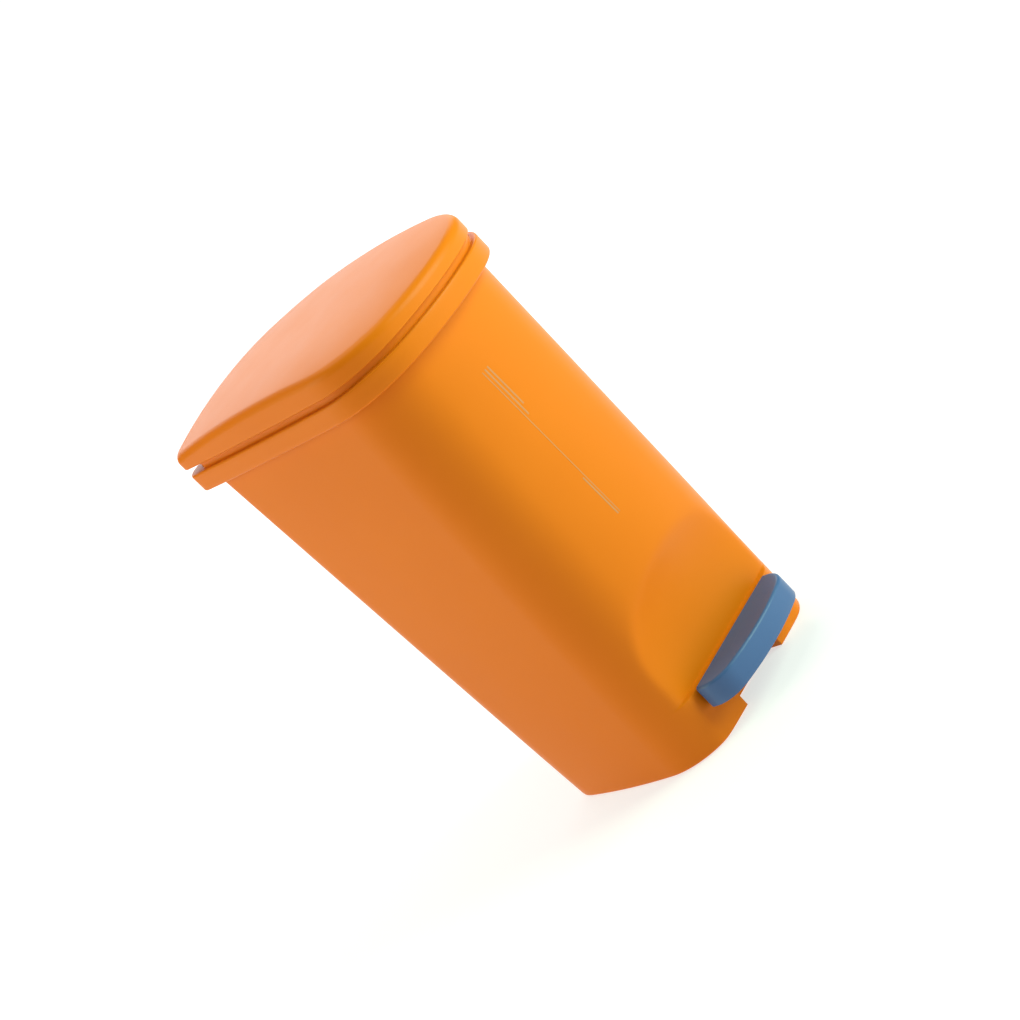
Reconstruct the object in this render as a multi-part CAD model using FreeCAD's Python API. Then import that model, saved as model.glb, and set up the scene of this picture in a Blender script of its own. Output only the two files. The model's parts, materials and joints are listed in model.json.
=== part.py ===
"""Slim step-on pedal bin: shell, collar, lid, inner bucket and pedal mechanism.

Millimetres, +Z up, -Y is the front with the pedal, +X is the right-hand side.
The drawing has its own y = 0 near the middle of the body.  Every finished piece is
moved so that the origin is on the ground, under the middle of the whole plan.
"""
import FreeCAD, Part
import math
import os

from FreeCAD import Vector

# ---- driving dimensions -------------------------------------------------------------
# Every plan outline is D-shaped: slightly bowed sides, a straight back with tight
# corners, big front corners and a bowed nose.  half = greatest half width, reached at
# y = mid; rear and front = y of the extreme points; then the rear-corner,
# front-corner, nose and side radii.
RIM = dict(half=84.6, mid=-25.0, rear=112.0, front=-131.0,
           r_rear=12.0, r_front=60.5, r_nose=150.0, r_side=2600.0)
BODY_TOP = dict(half=76.8, mid=-25.0, rear=95.8, front=-119.0,
                r_rear=9.0, r_front=52.0, r_nose=150.0, r_side=2600.0)
BODY_BASE = dict(half=84.2, mid=-22.0, rear=61.5, front=-106.5,
                 r_rear=26.0, r_front=52.0, r_nose=160.0, r_side=560.0)
BODY_TOP_Z = 330.0          # height where BODY_TOP holds, at the collar's lower edge
WALL = 2.4                  # shell, collar and lid wall
RUNNING = 0.08              # radial clearance of every pivot and guide

PAD_HEIGHT = 0.6            # rubber feet under the shell's floor
FLOOR_TOP = PAD_HEIGHT + WALL
FRAME_TOP = FLOOR_TOP + WALL
DECK_Z = 38.0               # underside of the deck that the bucket stands on
DECK_TOP = DECK_Z + 3.0
SHELL_TOP = 341.5
COLLAR_BOTTOM = 330.0
COLLAR_TOP = 344.5
NECK_TOP = 351.0
LID_BOTTOM = 349.4
LID_CORNER_Z = 358.5        # top of the lid at its corners
LID_SIDE_RISE = 8.4         # the top's extra height at the middle of each side
LID_BACK_RISE = 8.7         # the same at the middle of the back edge
LID_NOSE_RISE = 2.0         # the same at the nose
LID_CROWN = 3.2             # extra height over the lid's middle
LID_ROUND = 5.6             # rounding of the lid's upper edge
LID_INSET = 1.6             # lid outline inside the collar outline
LID_BACK = 0.8              # how far the lid reaches behind the collar
PLAN_MIDDLE = (RIM["front"] + RIM["rear"] + LID_BACK) / 2

# foot scoop in the lower front wall: an upright plane that curves out to the nose
SCOOP_Y = -91.0
SCOOP_Z = 60.0
SCOOP_RADIUS = 104.0
LEDGE_Z = 41.0
TOE_TOP_Y = -95.2           # front face of the two toes beside the pedal bay
TOE_BASE_Y = -93.5
BAY_HALF = 27.4
BAY_TOP = 26.0
BAY_REAR = -80.0

# pedal lever
AXLE_Y = -45.0
AXLE_Z = 18.0
AXLE_R = 3.0
ARM_HALF = 23.0
TREAD_HALF = 52.8
TREAD_BACK = -97.2
TREAD_FRONT = -128.2
TREAD_TOP = 42.0
TREAD_BOTTOM = 24.0

# lid hinge and push rod
HINGE_Y = 105.0
HINGE_Z = 354.5
PIN_R = 1.5
KNUCKLE_R = 3.4
LUG_X = (26.2, 32.2)        # collar lugs, outside the bracket's knuckles
KNUCKLE_X = (18.6, 25.6)
HINGE_NOTCH_HALF = 37.0     # opening in the lid's back skirt round the lugs
HINGE_NOTCH_TOP = HINGE_Z + 4.0
ROD_R = 2.0
ROD_LOW = Vector(0, 51.0, 12.0)
ROD_HIGH = Vector(0, 90.36, 344.9)
CRANK_SLOT = (14.1, 17.7)   # ends of the crank's slot, measured from the hinge
LEVER_SLOT = (-0.3, 3.9)    # ends of the lever's slot, measured from the lower hook
BLADE_X = (4.0, 10.0)       # crank and lever blades that the rod's hooks pass through
HOOK_END_X = 12.0
SCREW_R = 1.5
BASE_HEAD_Z = PAD_HEIGHT + 1.2      # seat of the base screws' heads, inside the floor

BUCKET_TOP = dict(half=66.0, mid=-15.0, rear=74.0, front=-108.0,
                  r_rear=16.0, r_front=42.0, r_nose=130.0, r_side=1500.0)
BUCKET_BASE = dict(half=61.0, mid=-15.0, rear=43.0, front=-83.0,
                   r_rear=18.0, r_front=38.0, r_nose=130.0, r_side=1500.0)
BUCKET_WALL = 1.8
BUCKET_RIM_Z = 334.5
BAIL_Y = -15.0              # the bail's pivots in the bucket's two ears
BAIL_Z = 339.0
BAIL_R = 2.0


# ---- shape helpers ------------------------------------------------------------------
def inset(section, amount):
    """The same D outline moved inwards by amount."""
    out = {key: value - amount for key, value in section.items()}
    out.update(mid=section["mid"], front=section["front"] + amount)
    return out


def blend(low, high, t):
    """A section part of the way from low to high."""
    return {key: low[key] + (high[key] - low[key]) * t for key in low}


def body_section(z, amount=0.0):
    return inset(blend(BODY_BASE, BODY_TOP, z / BODY_TOP_Z), amount)


def bucket_section(z, amount=0.0):
    t = (z - DECK_TOP) / (BUCKET_RIM_Z - DECK_TOP)
    return inset(blend(BUCKET_BASE, BUCKET_TOP, t), amount)


def outline(section, z):
    """Closed D-shaped wire at height z, nose first and then anticlockwise."""
    rear, r_rear, r_front = section["rear"], section["r_rear"], section["r_front"]
    r_nose, r_side = section["r_nose"], section["r_side"]
    nose = Vector(0, section["front"] + r_nose, z)
    side = Vector(section["half"] - r_side, section["mid"], z)

    # the front corner's arc touches the nose arc and the side arc from the inside
    span = side - nose
    gap = span.Length
    reach = r_nose - r_front
    along = (reach ** 2 - (r_side - r_front) ** 2 + gap ** 2) / (2 * gap)
    off = math.sqrt(reach ** 2 - along ** 2)
    corner = nose + span * (along / gap) + Vector(span.y, -span.x, 0) * (-off / gap)
    rear_y = rear - r_rear
    rear_x = side.x + math.sqrt((r_side - r_rear) ** 2 - (rear_y - side.y) ** 2)
    rear_corner = Vector(rear_x, rear_y, z)

    def towards(centre, target, radius):
        return centre + (target - centre).normalize() * radius

    def mirror(point):
        return Vector(-point.x, point.y, point.z)

    joint = towards(nose, corner, r_nose)
    side_front = towards(side, corner, r_side)
    side_rear = towards(side, rear_corner, r_side)
    rear_end = Vector(rear_x, rear, z)
    middle = towards(corner, (joint + side_front) * 0.5, r_front)
    side_middle = towards(side, (side_front + side_rear) * 0.5, r_side)
    rear_middle = towards(rear_corner, (side_rear + rear_end) * 0.5, r_rear)
    edges = [
        Part.Arc(mirror(joint), Vector(0, section["front"], z), joint),
        Part.Arc(joint, middle, side_front),
        Part.Arc(side_front, side_middle, side_rear),
        Part.Arc(side_rear, rear_middle, rear_end),
        Part.LineSegment(rear_end, mirror(rear_end)),
        Part.Arc(mirror(rear_end), mirror(rear_middle), mirror(side_rear)),
        Part.Arc(mirror(side_rear), mirror(side_middle), mirror(side_front)),
        Part.Arc(mirror(side_front), mirror(middle), mirror(joint)),
    ]
    return Part.Wire([edge.toShape() for edge in edges])


def prism(section, z0, z1):
    return Part.Face(outline(section, z0)).extrude(Vector(0, 0, z1 - z0))


def loft(low, z0, high, z1):
    return Part.makeLoft([outline(low, z0), outline(high, z1)], True, True)


def box(x0, x1, y0, y1, z0, z1):
    return Part.makeBox(x1 - x0, y1 - y0, z1 - z0, Vector(x0, y0, z0))


def upright(x, y, z0, z1, radius):
    return Part.makeCylinder(radius, z1 - z0, Vector(x, y, z0), Vector(0, 0, 1))


def crossbar(x0, x1, y, z, radius):
    return Part.makeCylinder(radius, x1 - x0, Vector(x0, y, z), Vector(1, 0, 0))


def side_profile(points, x0, x1):
    """A polygon of (y, z) points, extruded from x0 to x1."""
    wire = Part.makePolygon([Vector(x0, y, z) for y, z in points + points[:1]])
    return Part.Face(wire).extrude(Vector(x1 - x0, 0, 0))


def slot_across(x0, x1, start, end, radius):
    """A stadium-shaped bar along X whose section runs from start to end, as (y, z)."""
    along = Vector(0, end[0] - start[0], end[1] - start[1])
    side = Vector(0, -along.z, along.y).normalize() * radius
    a, b = Vector(x0, *start), Vector(x0, *end)
    band = Part.Face(Part.makePolygon([a + side, b + side, b - side, a - side, a + side]))
    bar = band.extrude(Vector(x1 - x0, 0, 0))
    return bar.fuse([crossbar(x0, x1, *start, radius), crossbar(x0, x1, *end, radius)])


def both_sides(span):
    """The same (x0, x1) span on the right and on the left."""
    return [span, (-span[1], -span[0])]


def joined(first, *others):
    return first.fuse(list(others)).removeSplitter()


def group(solids):
    return Part.makeCompound(solids)


def screw(x, y, head_z, tip_z, head_r=2.9, head_h=1.8):
    """A pan-head screw standing along Z, with a cross recess cut into its head."""
    way = 1 if tip_z > head_z else -1
    low, high = min(head_z, tip_z), max(head_z, tip_z)
    shank = upright(x, y, low, high, SCREW_R)
    head_low = min(head_z, head_z - way * head_h)
    head = upright(x, y, head_low, head_low + head_h, head_r)
    top = head_z - way * head_h
    recess_low = min(top, top + way * 1.0)
    slot_a = box(x - 1.9, x + 1.9, y - 0.4, y + 0.4, recess_low, recess_low + 1.0)
    slot_b = box(x - 0.4, x + 0.4, y - 1.9, y + 1.9, recess_low, recess_low + 1.0)
    return shank.fuse(head).cut(slot_a.fuse(slot_b))


def scoop_tool(grow):
    """Everything in front of the lower front wall, moved inwards by grow."""
    radius = SCOOP_RADIUS + grow
    centre_y = SCOOP_Y - SCOOP_RADIUS
    top = SCOOP_Z + 64.0
    wall_y = SCOOP_Y + grow

    def on_arc(z):
        return Vector(-100, centre_y + math.sqrt(radius ** 2 - (z - SCOOP_Z) ** 2), z)

    far_y = -150.0
    ledge = LEDGE_Z - grow
    corners = [
        Vector(-100, far_y, top), Vector(-100, far_y, -5), Vector(-100, TOE_BASE_Y + grow, -5),
        Vector(-100, TOE_BASE_Y + grow, 0), Vector(-100, TOE_TOP_Y + grow, ledge),
        Vector(-100, wall_y, ledge), Vector(-100, wall_y, SCOOP_Z),
    ]
    edges = [Part.LineSegment(a, b).toShape() for a, b in zip(corners, corners[1:])]
    edges.append(Part.Arc(corners[-1], on_arc((SCOOP_Z + top) / 2), on_arc(top)).toShape())
    edges.append(Part.LineSegment(on_arc(top), corners[0]).toShape())
    return Part.Face(Part.Wire(edges)).extrude(Vector(200, 0, 0))


def lid_surface(drop):
    """The lid's softly pillowed top as one surface, lowered by drop."""
    middle_y = (RIM["rear"] + RIM["front"]) / 2
    half_y = (RIM["rear"] - RIM["front"]) / 2
    reach = 1.08
    rows = []
    for i in range(13):
        u = reach * (i / 6.0 - 1.0)
        row = []
        for j in range(13):
            v = reach * (j / 6.0 - 1.0)
            end_rise = LID_BACK_RISE if v > 0 else LID_NOSE_RISE
            rise = LID_SIDE_RISE * (1 - v * v) + end_rise * (1 - u * u) * v * v
            rise += LID_CROWN * (1 - u ** 4) * (1 - v ** 4)
            z = LID_CORNER_Z + rise - drop
            row.append(Vector(u * RIM["half"], middle_y + v * half_y, z))
        rows.append(row)
    surface = Part.BSplineSurface()
    surface.interpolate(rows)
    return surface.toShape()


def lid_block(amount, z0, drop):
    """A prism of the lid outline, moved in by amount, under its top lowered by drop."""
    section = inset(RIM, LID_INSET)
    section.update(rear=RIM["rear"] + LID_BACK)
    above = lid_surface(drop).extrude(Vector(0, 0, 60))
    return prism(inset(section, amount), z0, LID_CORNER_Z + 40).cut(above)


def rod_frame(shape):
    """Place a shape modelled around an upright rod at the origin onto the tilted rod."""
    lean = math.degrees(math.atan2(ROD_HIGH.y - ROD_LOW.y, ROD_HIGH.z - ROD_LOW.z))
    shape.rotate(Vector(0, 0, 0), Vector(1, 0, 0), -lean)
    shape.translate(ROD_LOW)
    return shape


ROD_LENGTH = (ROD_HIGH - ROD_LOW).Length
POSTS = [(52.0, -62.0), (55.0, 36.0), (-52.0, -62.0), (-55.0, 36.0)]
LID_BOSSES = [(48.0, -62.0), (50.0, 62.0), (-48.0, -62.0), (-50.0, 62.0)]
BRACKET_SCREWS = [(22.0, 88.0), (-22.0, 88.0)]
CAP_SCREW_Y = (AXLE_Y - 6.2, AXLE_Y + 6.2)
TOWER_X = (29.0, 38.0)
TREAD_SCREWS = [(26.0, -116.0), (-26.0, -116.0)]


# ---- body ---------------------------------------------------------------------------
def outer_shell():
    """Tapered D-shaped shell with a floor, the foot scoop and the pedal bay."""
    outer = loft(body_section(PAD_HEIGHT), PAD_HEIGHT, body_section(SHELL_TOP), SHELL_TOP)
    bottom_edges = [e for e in outer.Edges if e.BoundBox.ZMax < PAD_HEIGHT + 0.01]
    outer = outer.makeFillet(2.0, bottom_edges)
    outer = outer.cut(scoop_tool(0.0))
    cavity = loft(body_section(FLOOR_TOP, WALL), FLOOR_TOP, body_section(345, WALL), 345)
    cavity = cavity.cut(scoop_tool(WALL))
    shell = outer.cut(cavity)
    side = BAY_HALF + WALL
    tunnel = box(-side, side, TOE_BASE_Y + 1.0, BAY_REAR + 2, FLOOR_TOP - 0.5, BAY_TOP + WALL)
    shell = joined(shell, tunnel)
    shell = shell.cut(box(-BAY_HALF, BAY_HALF, TOE_BASE_Y - 8, BAY_REAR + 2, 0, BAY_TOP))
    for x, y in POSTS:
        shell = shell.cut(upright(x, y, 0, FLOOR_TOP + 1, SCREW_R + 0.2))
        shell = shell.cut(upright(x, y, 0, BASE_HEAD_Z, 3.3))
    crank_notch = box(-5, 14, 90, 105, 333, SHELL_TOP + 1)
    return shell.cut(crank_notch)


def rim_collar():
    """Overhanging top frame with a sealing neck, hinge lugs and a crank slot."""
    skirt = prism(RIM, COLLAR_BOTTOM, COLLAR_TOP)
    edges = [e for e in skirt.Edges if e.BoundBox.ZLength < 0.01]
    skirt = skirt.makeFillet(1.4, edges)
    hollow = prism(inset(RIM, WALL), COLLAR_BOTTOM - 1, SHELL_TOP)
    opening = inset(body_section(SHELL_TOP), WALL + 2.2)
    opening.update(rear=80.0, r_rear=10.0)
    frame = skirt.cut(hollow).cut(prism(opening, SHELL_TOP - 1, COLLAR_TOP + 1))
    neck_out = inset(RIM, 4.6)
    neck_in = inset(RIM, 6.4)
    neck_out.update(rear=94.0, r_rear=6.0)
    neck_in.update(rear=92.2, r_rear=4.2)
    neck = prism(neck_out, COLLAR_TOP - 0.5, NECK_TOP).cut(prism(neck_in, COLLAR_TOP - 1, NECK_TOP + 1))
    lip_low, lip_high = SHELL_TOP - 7.5, SHELL_TOP + 0.5
    lip = loft(body_section(lip_low, WALL + 0.2), lip_low, body_section(lip_high, WALL + 0.2), lip_high)
    lip = lip.cut(loft(body_section(lip_low - 1, WALL + 2.0), lip_low - 1,
                       body_section(lip_high + 1, WALL + 2.0), lip_high + 1))
    lugs = []
    for x0, x1 in both_sides(LUG_X):
        lugs.append(box(x0, x1, HINGE_Y - KNUCKLE_R, HINGE_Y + KNUCKLE_R, COLLAR_TOP - 0.5, HINGE_Z))
        lugs.append(crossbar(x0, x1, HINGE_Y, HINGE_Z, KNUCKLE_R))
    frame = joined(frame, neck, lip, *lugs)
    frame = frame.cut(box(-5, 14, 79, 101.5, 330, COLLAR_TOP + 0.01))
    frame = frame.cut(box(-34, 34, 91, 95, COLLAR_TOP, NECK_TOP + 1))
    return frame.cut(crossbar(-40, 40, HINGE_Y, HINGE_Z, PIN_R))


def bag_ring():
    """Loose ring that folds a bin liner over the bucket's rim."""
    ring_out = inset(RIM, 7.2)
    ring_out.update(rear=78.5, r_rear=9.0)
    throat = inset(BUCKET_TOP, 5.2)
    throat.update(rear=68.0)
    top = COLLAR_TOP + 2.0
    flange = prism(ring_out, COLLAR_TOP, top)
    skirt = prism(throat, BAIL_Z - 1.0, top)
    ring = joined(flange, skirt)
    ring = ring.cut(prism(inset(throat, 1.8), BAIL_Z - 2, top + 1))
    rounded = [e for e in ring.Edges if e.BoundBox.ZMin > top - 0.01 and e.BoundBox.ZLength < 0.01]
    return ring.makeFillet(0.8, rounded)


def inner_bucket():
    """Removable tapered bucket with an outturned rim and two ears for the bail."""
    outer = loft(BUCKET_BASE, DECK_TOP, BUCKET_TOP, BUCKET_RIM_Z)
    bottom = [e for e in outer.Edges if e.BoundBox.ZMax < DECK_TOP + 0.01]
    outer = outer.makeFillet(7.0, bottom)
    inner_low = inset(BUCKET_BASE, BUCKET_WALL)
    floor_z = DECK_TOP + BUCKET_WALL
    inner = loft(inner_low, floor_z, inset(BUCKET_TOP, BUCKET_WALL), BUCKET_RIM_Z)
    bottom = [e for e in inner.Edges if e.BoundBox.ZMax < floor_z + 0.01]
    inner = inner.makeFillet(5.5, bottom)
    flange = prism(inset(BUCKET_TOP, -3.0), BUCKET_RIM_Z - 2.0, BUCKET_RIM_Z)
    bead = prism(inset(BUCKET_TOP, -3.0), BUCKET_RIM_Z - 5.0, BUCKET_RIM_Z)
    bead = bead.cut(prism(inset(BUCKET_TOP, -1.6), BUCKET_RIM_Z - 6.0, BUCKET_RIM_Z - 2.0))
    body = joined(outer, flange, bead).cut(inner)
    body = body.cut(prism(inset(BUCKET_TOP, BUCKET_WALL), BUCKET_RIM_Z - 0.01, BUCKET_RIM_Z + 1))
    ears = []
    inside = BUCKET_TOP["half"] - BUCKET_WALL
    for s in (1, -1):
        x0 = inside if s > 0 else -inside - BUCKET_WALL
        ears.append(box(x0, x0 + BUCKET_WALL, BAIL_Y - 4, BAIL_Y + 4, BUCKET_RIM_Z - 1, BAIL_Z))
        ears.append(crossbar(x0, x0 + BUCKET_WALL, BAIL_Y, BAIL_Z, 4.0))
    body = joined(body, *ears)
    return body.cut(crossbar(-80, 80, BAIL_Y, BAIL_Z, BAIL_R + RUNNING))


def bail_section():
    section = inset(BUCKET_TOP, -2.9)
    section.update(rear=BAIL_Y, r_rear=3.0)
    return section


def bail_handle():
    """Wire bail folded forward round the bucket's rim, its ends through the ears."""
    wire = outline(bail_section(), BAIL_Z)
    pieces = wire.Edges[:4] + wire.Edges[5:]
    for vertex in wire.Edges[4].Vertexes:
        bend_end = vertex.Point
        inwards = Vector(-math.copysign(3.5, bend_end.x), 0, 0)
        pieces.append(Part.LineSegment(bend_end, bend_end + inwards).toShape())
    return tube_along(Part.Wire(Part.__sortEdges__(pieces)), BAIL_R)


def tube_along(path, radius):
    """A round bar along a smooth open wire."""
    first = path.OrderedEdges[0]
    start = path.OrderedVertexes[0].Point
    parameter = first.getParameterByLength(0)
    direction = first.tangentAt(parameter)
    if (first.valueAt(parameter) - start).Length > 0.01:
        direction = first.tangentAt(first.LastParameter)
    ring = Part.Wire([Part.Circle(start, direction, radius).toShape()])
    return path.makePipeShell([ring], True, True)


def bail_grip():
    """Moulded tube round the middle of the bail."""
    section = bail_section()
    radius = section["r_nose"]
    centre = Vector(0, section["front"] + radius, BAIL_Z)
    reach = math.degrees(math.asin(34.0 / radius))
    start = Vector(0, section["front"], BAIL_Z)
    outer = Part.Face(Part.Wire([Part.Circle(start, Vector(1, 0, 0), 4.3).toShape()]))
    inner = Part.Face(Part.Wire([Part.Circle(start, Vector(1, 0, 0), BAIL_R).toShape()]))
    ring = outer.cut(inner)
    ring.rotate(centre, Vector(0, 0, 1), -reach)
    return ring.revolve(centre, Vector(0, 0, 1), 2 * reach)


# ---- lid ----------------------------------------------------------------------------
def lid_cover():
    """Pillowed lid shell with a skirt, screw bosses and a notch round the hinge."""
    outer = lid_block(0.0, LID_BOTTOM, 0.0)
    top_edges = [e for e in outer.Edges if e.BoundBox.ZMin > LID_CORNER_Z - 3.5]
    outer = outer.makeFillet(LID_ROUND, top_edges)
    inner = lid_block(2.2, LID_BOTTOM - 1, 2.4)
    inner_edges = [e for e in inner.Edges if e.BoundBox.ZMin > LID_CORNER_Z - 6.0]
    inner = inner.makeFillet(LID_ROUND - 2.4, inner_edges)
    cover = outer.cut(inner)
    bosses = []
    for x, y in LID_BOSSES:
        bosses.append(upright(x, y, 354.6, 380, 4.0))
    for x, y in BRACKET_SCREWS:
        bosses.append(upright(x, y, 357.5, 380, 4.0))
    clip = lid_block(1.0, LID_BOTTOM - 1, 1.2)
    bosses = [boss.common(clip) for boss in bosses]
    cover = joined(cover, *bosses)
    for x, y in LID_BOSSES + BRACKET_SCREWS:
        cover = cover.cut(upright(x, y, 350, 360.6, SCREW_R))
    return cover.cut(box(-HINGE_NOTCH_HALF, HINGE_NOTCH_HALF, HINGE_Y - 2, RIM["rear"] + 1,
                         LID_BOTTOM - 1, HINGE_NOTCH_TOP))


def lid_liner():
    """Flat inner panel that closes the underside of the lid."""
    section = inset(RIM, LID_INSET + 3.2)
    section.update(rear=79.0, r_rear=8.0)
    panel = prism(section, 352.6, 354.6)
    recess = inset(section, 14.0)
    recess.update(r_rear=10.0)
    panel = panel.cut(prism(recess, 352.0, 353.2))
    for x, y in LID_BOSSES:
        panel = panel.cut(upright(x, y, 352, 355, SCREW_R + 0.2))
    return panel


def lid_hinge_bracket():
    """Plate with two hinge knuckles and the slotted crank that the rod pushes."""
    plate = box(-30, 30, 82, 100, 355.0, 357.5)
    arms = []
    for x0, x1 in both_sides(KNUCKLE_X):
        arms.append(box(x0, x1, HINGE_Y - 6, HINGE_Y, HINGE_Z - 2, 357.5))
        arms.append(crossbar(x0, x1, HINGE_Y, HINGE_Z, KNUCKLE_R))
    bore = crossbar(-40, 40, HINGE_Y, HINGE_Z, PIN_R + RUNNING)
    bracket = joined(plate, *arms)
    x0, x1 = BLADE_X
    toward = Vector(0, ROD_HIGH.y - HINGE_Y, ROD_HIGH.z - HINGE_Z).normalize()
    near = (HINGE_Y + toward.y * CRANK_SLOT[0], HINGE_Z + toward.z * CRANK_SLOT[0])
    far = (HINGE_Y + toward.y * CRANK_SLOT[1], HINGE_Z + toward.z * CRANK_SLOT[1])
    crank = slot_across(x0, x1, (HINGE_Y - 1.0, HINGE_Z + 0.5), far, 5.4)
    crank = crank.common(box(x0, x1, 70, HINGE_Y + 2.0, 330, 357.5))
    web = box(x0, x1, 88, HINGE_Y - 1, HINGE_Z - 2, 357.5)
    bracket = joined(bracket, crank, web)
    bracket = bracket.cut(slot_across(x0 - 1, x1 + 1, near, far, ROD_R + 0.9)).cut(bore)
    for x, y in BRACKET_SCREWS:
        bracket = bracket.cut(upright(x, y, 354, 359, SCREW_R + 0.2))
    return bracket


def hinge_pin():
    return crossbar(-35, 35, HINGE_Y, HINGE_Z, PIN_R)


def hinge_pin_caps():
    """Push-on caps that stop the pin from sliding out."""
    caps = []
    for s in (1, -1):
        x0 = 32.2 if s > 0 else -36.4
        cap = crossbar(x0, x0 + 4.2, HINGE_Y, HINGE_Z, 2.9)
        caps.append(cap.cut(crossbar(-35, 35, HINGE_Y, HINGE_Z, PIN_R)))
    return group(caps)


def lid_buffers():
    """Soft pads on the liner that meet the top of the neck."""
    places = [(78.0, 30.0), (-78.0, 30.0), (40.6, -118.8), (-40.6, -118.8)]
    return group([upright(x, y, NECK_TOP + 0.05, 352.6, 1.5) for x, y in places])


def liner_screws():
    return group([screw(x, y, 352.6, 359.5) for x, y in LID_BOSSES])


def bracket_screws():
    return group([screw(x, y, 355.0, 360.4) for x, y in BRACKET_SCREWS])


# ---- push rod -----------------------------------------------------------------------
def push_rod():
    """Steel wire with both ends bent sideways into hooks."""
    bend = 4.0
    short = bend * (1 - math.sqrt(0.5))
    up = ROD_LENGTH
    edges = [
        Part.LineSegment(Vector(HOOK_END_X, 0, 0), Vector(bend, 0, 0)),
        Part.Arc(Vector(bend, 0, 0), Vector(short, 0, short), Vector(0, 0, bend)),
        Part.LineSegment(Vector(0, 0, bend), Vector(0, 0, up - bend)),
        Part.Arc(Vector(0, 0, up - bend), Vector(short, 0, up - short), Vector(bend, 0, up)),
        Part.LineSegment(Vector(bend, 0, up), Vector(HOOK_END_X, 0, up)),
    ]
    path = Part.Wire([edge.toShape() for edge in edges])
    return rod_frame(tube_along(path, ROD_R))


def rod_guide(z, shell):
    """Guide block between the rod and the rear wall."""
    block = box(-9, 9, -4.5, 16, z, z + 14)
    block = block.cut(upright(0, 0, z - 1, z + 15, ROD_R + RUNNING))
    return rod_frame(block).cut(shell).Solids[0]


def rod_guard(shell):
    """Channel that keeps the bucket and a bin liner off the moving rod."""
    low, high = 20.0, 320.0
    channel = box(-15, 15, -8.6, 20, low, high)
    channel = channel.cut(box(-13.4, 13.4, -7.0, 21, low - 1, high + 1))
    channel = rod_frame(channel)
    channel = channel.cut(box(-20, 20, 0, 120, 0, DECK_TOP)).cut(shell)
    solids = sorted(channel.Solids, key=lambda solid: solid.Volume)
    return solids[-1]


# ---- pedal mechanism ----------------------------------------------------------------
def tread_section():
    return dict(half=TREAD_HALF, mid=-112.0, rear=TREAD_BACK, front=TREAD_FRONT,
                r_rear=2.4, r_front=21.5, r_nose=150.0, r_side=900.0)


def pedal_tread():
    """Hollow foot tread with two screw bosses and a notch for the lever."""
    section = tread_section()
    outer = prism(section, TREAD_BOTTOM, TREAD_TOP)
    top_edges = [e for e in outer.Edges if e.BoundBox.ZMin > TREAD_TOP - 0.01]
    outer = outer.makeFillet(1.8, top_edges)
    hollow = inset(section, 2.4)
    hollow.update(r_rear=1.0)
    tread = outer.cut(prism(hollow, TREAD_BOTTOM - 1, TREAD_TOP - 3.0))
    for x, y in TREAD_SCREWS:
        tread = joined(tread, upright(x, y, 28.0, TREAD_TOP - 2, 4.5))
        tread = tread.cut(upright(x, y, 20, TREAD_TOP - 4, SCREW_R))
    return tread.cut(box(-ARM_HALF - 1, ARM_HALF + 1, TREAD_BACK - 4, TREAD_BACK + 3, 20, 28.5))


def pedal_lever():
    """Moulded lever: plate in the tread, wide front arm, hub, rear beam and blade."""
    plate_section = inset(tread_section(), 2.7)
    plate_section.update(r_rear=1.0)
    plate = prism(plate_section, 24.6, 28.0)
    neck = box(-ARM_HALF, ARM_HALF, TREAD_BACK - 6, TREAD_BACK + 0.6, 15, 28.0)
    arm = box(-ARM_HALF, ARM_HALF, TREAD_BACK - 2, AXLE_Y, 15, 21)
    relief = box(-ARM_HALF + 6, ARM_HALF - 6, TREAD_BACK + 8, AXLE_Y - 12, 18, 22)
    hub = crossbar(-27, 27, AXLE_Y, AXLE_Z, 6.5)
    x0, x1 = BLADE_X
    beam = box(-8, x1, AXLE_Y, 44, 9, 15)
    gusset = side_profile([(AXLE_Y, 9), (AXLE_Y, 22), (AXLE_Y + 24, 15), (AXLE_Y + 24, 9)], -8, x1)
    blade = slot_across(x0, x1, (40, 11.5), (ROD_LOW.y + 4, 11.5), 4.5)
    lever = joined(plate, neck, arm, hub, beam, gusset, blade)
    lever = lever.cut(relief)
    lever = lever.cut(crossbar(-30, 30, AXLE_Y, AXLE_Z, AXLE_R + RUNNING))
    front, rear = [(ROD_LOW.y + reach, ROD_LOW.z) for reach in LEVER_SLOT]
    lever = lever.cut(slot_across(x0 - 1, x1 + 1, front, rear, ROD_R + 0.5))
    for x, y in TREAD_SCREWS:
        lever = lever.cut(upright(x, y, 20, 30, SCREW_R + 0.2))
    return lever


def tread_screws():
    return group([screw(x, y, 24.6, 36.0) for x, y in TREAD_SCREWS])


def pedal_axle():
    return crossbar(-40, 40, AXLE_Y, AXLE_Z, AXLE_R)


def axle_clips():
    """Retaining rings outside the bearing towers."""
    clips = []
    for x0 in (TOWER_X[1], -TOWER_X[1] - 1.2):
        ring = crossbar(x0, x0 + 1.2, AXLE_Y, AXLE_Z, 5.4)
        ring = ring.cut(crossbar(-40, 40, AXLE_Y, AXLE_Z, AXLE_R))
        clips.append(ring.cut(box(x0 - 1, x0 + 2, AXLE_Y - 1.6, AXLE_Y + 1.6, AXLE_Z - 6, AXLE_Z - 2)))
    return group(clips)


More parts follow.
